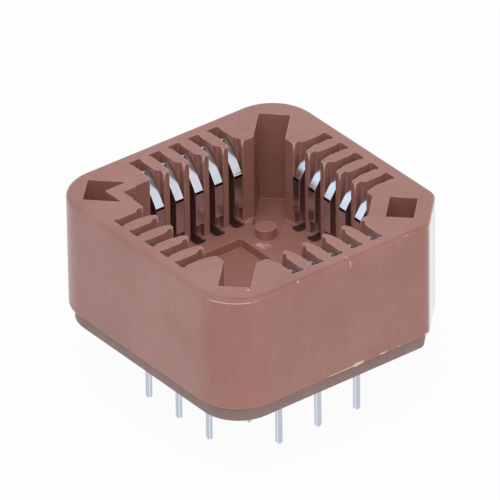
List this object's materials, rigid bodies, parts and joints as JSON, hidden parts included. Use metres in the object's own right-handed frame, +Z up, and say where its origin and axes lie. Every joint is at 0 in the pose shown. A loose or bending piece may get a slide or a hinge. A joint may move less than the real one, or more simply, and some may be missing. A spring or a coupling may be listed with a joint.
{
  "type": "ic socket",
  "caption": "Deep square through-hole socket for a small leaded chip carrier, with a cut first corner, two extraction slots and bent strip contacts on a staggered tail grid.",
  "frame": {"origin": "centre of the base plate's underside, the face towards the board", "axes": "+Z up out of the board towards the chip opening; the cut first corner is at +X +Y, and the contacts are counted counter-clockwise from the middle of the +X side"},
  "size_m": [0.0152, 0.0152, 0.0112],
  "materials": {
    "housing_plastic": "satin",
    "plate_plastic": "rough",
    "contact_tin": "bright tin plate"
  },
  "bodies": {
    "root": {"housing": "housing_plastic", "base_plate": "plate_plastic", "contact_01": "contact_tin", "contact_02": "contact_tin", "contact_03": "contact_tin", "contact_04": "contact_tin", "contact_05": "contact_tin", "contact_06": "contact_tin", "contact_07": "contact_tin", "contact_08": "contact_tin", "contact_09": "contact_tin", "contact_10": "contact_tin", "contact_11": "contact_tin", "contact_12": "contact_tin", "contact_13": "contact_tin", "contact_14": "contact_tin", "contact_15": "contact_tin", "contact_16": "contact_tin", "contact_17": "contact_tin", "contact_18": "contact_tin", "contact_19": "contact_tin", "contact_20": "contact_tin"}
  },
  "joints": []
}
